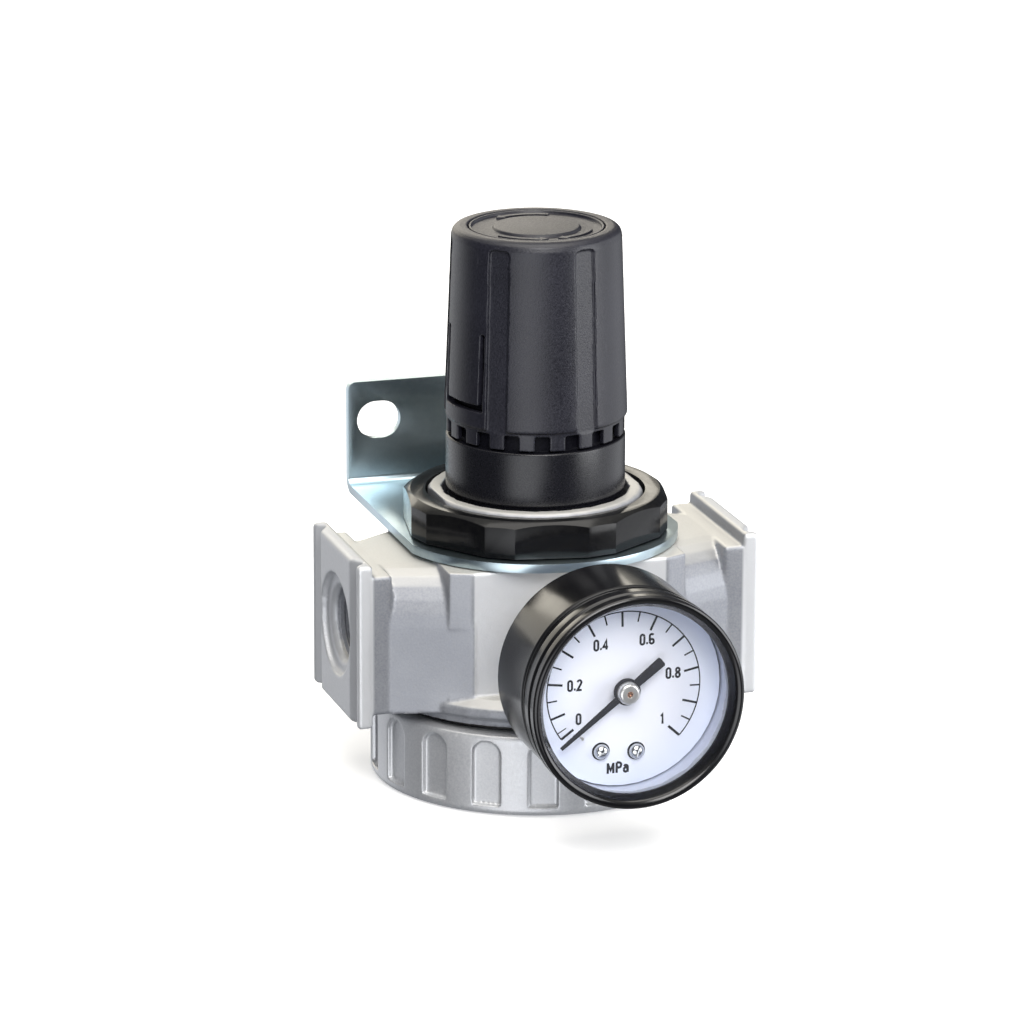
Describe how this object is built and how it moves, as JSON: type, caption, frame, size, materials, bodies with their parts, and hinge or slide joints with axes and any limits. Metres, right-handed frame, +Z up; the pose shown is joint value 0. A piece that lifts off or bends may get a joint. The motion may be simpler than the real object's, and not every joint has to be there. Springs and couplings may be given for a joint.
{
  "type": "air pressure regulator",
  "caption": "Modular air pressure regulator with a push-lock knob, angle bracket, V-grooved port flanges and a dial gauge.",
  "frame": {"origin": "middle of the bottom cap's underside, on the knob's axis", "axes": "+Z up along the knob's axis, +X along the air flow to the outlet port, -Y the side the gauge faces"},
  "size_m": [0.0824, 0.1056, 0.1108],
  "materials": {
    "body_cast": "die-cast, fine blasted grain",
    "cap_cast": "die-cast, fine blasted grain",
    "rubber": "moulded",
    "guide_resin": "moulded",
    "brass": "turned",
    "spring_steel": "drawn wire, zinc-plated",
    "bonnet_plastic": "moulded, fine texture",
    "screw_steel": "turned, zinc-plated",
    "knob_plastic": "moulded, fine sparked texture",
    "nut_plastic": "moulded, glossy",
    "bracket_zinc": "zinc-plated, bluish",
    "gauge_black": "gloss black enamel",
    "lens_clear": "clear",
    "dial_white": "matt white with black print",
    "screw_chrome": "bright plated",
    "pointer_black": "satin black",
    "boss_nickel": "nickel-plated"
  },
  "bodies": {
    "housing": {"body": "body_cast", "bottom_cap": "cap_cast", "cap_seal": "rubber", "valve_guide": "guide_resin", "guide_o_ring": "rubber", "valve_spring": "spring_steel", "diaphragm": "rubber", "main_spring": "spring_steel", "bonnet": "bonnet_plastic", "panel_nut": "nut_plastic", "bracket": "bracket_zinc", "port_plug": "screw_steel", "gauge_stem": "brass", "gauge_case": "gauge_black", "gauge_bezel": "gauge_black", "gauge_lens": "lens_clear", "lens_gasket": "rubber", "dial": "dial_white", "dial_screw_left": "screw_chrome", "dial_screw_right": "screw_chrome", "movement_plate": "brass", "stop_pin": "boss_nickel", "bourdon_tube": "brass", "tube_tip": "brass"},
    "adjuster": {"adjusting_screw": "screw_steel", "thrust_washer": "screw_steel"},
    "knob": {"knob": "knob_plastic", "knob_cap": "knob_plastic"},
    "spring_seat": {"adjusting_nut": "brass"},
    "diaphragm_centre": {"diaphragm_plate": "spring_steel", "relief_seat": "brass"},
    "valve_set": {"valve": "brass", "valve_seal": "rubber"},
    "sector": {"sector_gear": "brass"},
    "pointer_set": {"pointer": "pointer_black", "pointer_boss": "boss_nickel", "pinion": "brass"}
  },
  "joints": [
    {"name": "knob_turn", "type": "hinge", "parent": "housing", "child": "adjuster", "pos_m": [0, 0, 0.09], "axis": [0, 0, -1], "range_deg": [0, 2520]},
    {"name": "knob_pull", "type": "slide", "parent": "adjuster", "child": "knob", "axis": [0, 0, 1], "range_m": [0, 0.0035]},
    {"name": "nut_travel", "type": "slide", "parent": "housing", "child": "spring_seat", "axis": [0, 0, -1], "range_m": [0, 0.0106], "deforming": ["main_spring"]},
    {"name": "diaphragm_travel", "type": "slide", "parent": "housing", "child": "diaphragm_centre", "axis": [0, 0, -1], "range_m": [0, 0.0008], "stiffness_N_per_m": 2000, "springref_m": -0.001, "deforming": ["diaphragm"]},
    {"name": "valve_travel", "type": "slide", "parent": "housing", "child": "valve_set", "axis": [0, 0, -1], "range_m": [0, 0.0008], "stiffness_N_per_m": 500, "springref_m": -0.001, "deforming": ["valve_spring"]},
    {"name": "sector_turn", "type": "hinge", "parent": "housing", "child": "sector", "pos_m": [0, -0.0517, 0.0474], "axis": [0, -1, 0], "range_deg": [0, 32.7], "stiffness_Nm_per_rad": 0.01, "springref_deg": -5.73},
    {"name": "pointer_turn", "type": "hinge", "parent": "housing", "child": "pointer_set", "pos_m": [0, -0.0577, 0.033], "axis": [0, 1, 0], "range_deg": [0, 262]}
  ],
  "couplings": [
    {"joint": "nut_travel", "follows": "knob_turn", "m_per_rad": 0.00023873},
    {"joint": "valve_travel", "follows": "diaphragm_travel", "ratio": 1},
    {"joint": "pointer_turn", "follows": "sector_turn", "ratio": 8}
  ]
}
